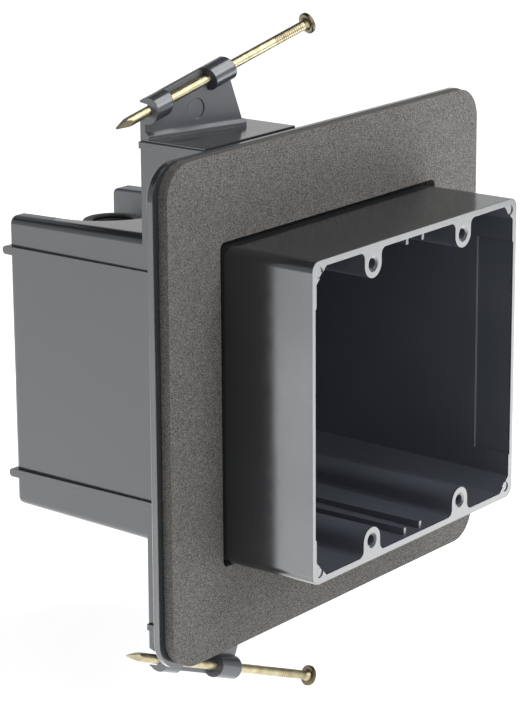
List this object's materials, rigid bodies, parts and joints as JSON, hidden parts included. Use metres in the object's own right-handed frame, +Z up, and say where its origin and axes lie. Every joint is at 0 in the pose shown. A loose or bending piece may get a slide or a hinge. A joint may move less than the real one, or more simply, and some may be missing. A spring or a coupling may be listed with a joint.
{
  "type": "electrical switch box",
  "caption": "Nail-on plastic switch box with a deep open front, wide foam-faced sealing flange, ribbed stud side, angled nail brackets and recessed cable entries.",
  "frame": {"origin": "centre of the four device screw holes, on the front face of the rim", "axes": "+X right as seen from the open front, +Y to the back, +Z up; the open front faces -Y and the stud side -X"},
  "size_m": [0.1576, 0.1157, 0.2126],
  "materials": {
    "box_plastic": "dark grey, moulded, semi-gloss",
    "gasket_foam": "grey-brown closed-cell foam, matt",
    "nail_zinc": "yellow zinc plating on steel",
    "seal_rubber": "black, soft, matt"
  },
  "bodies": {
    "box": {"box_body": "box_plastic", "flange_gasket": "gasket_foam", "cable_seal_upper_left": "seal_rubber", "cable_seal_upper_right": "seal_rubber", "cable_seal_lower_left": "seal_rubber", "cable_seal_lower_right": "seal_rubber"},
    "upper_nail": {"upper_nail": "nail_zinc"},
    "lower_nail": {"lower_nail": "nail_zinc"}
  },
  "joints": [
    {"name": "upper_nail_drive", "type": "slide", "parent": "box", "child": "upper_nail", "axis": [-0.912, 0.2546, -0.3214], "range_m": [0, 0.0282]},
    {"name": "lower_nail_drive", "type": "slide", "parent": "box", "child": "lower_nail", "axis": [-0.912, 0.2546, 0.3214], "range_m": [0, 0.0282]}
  ]
}
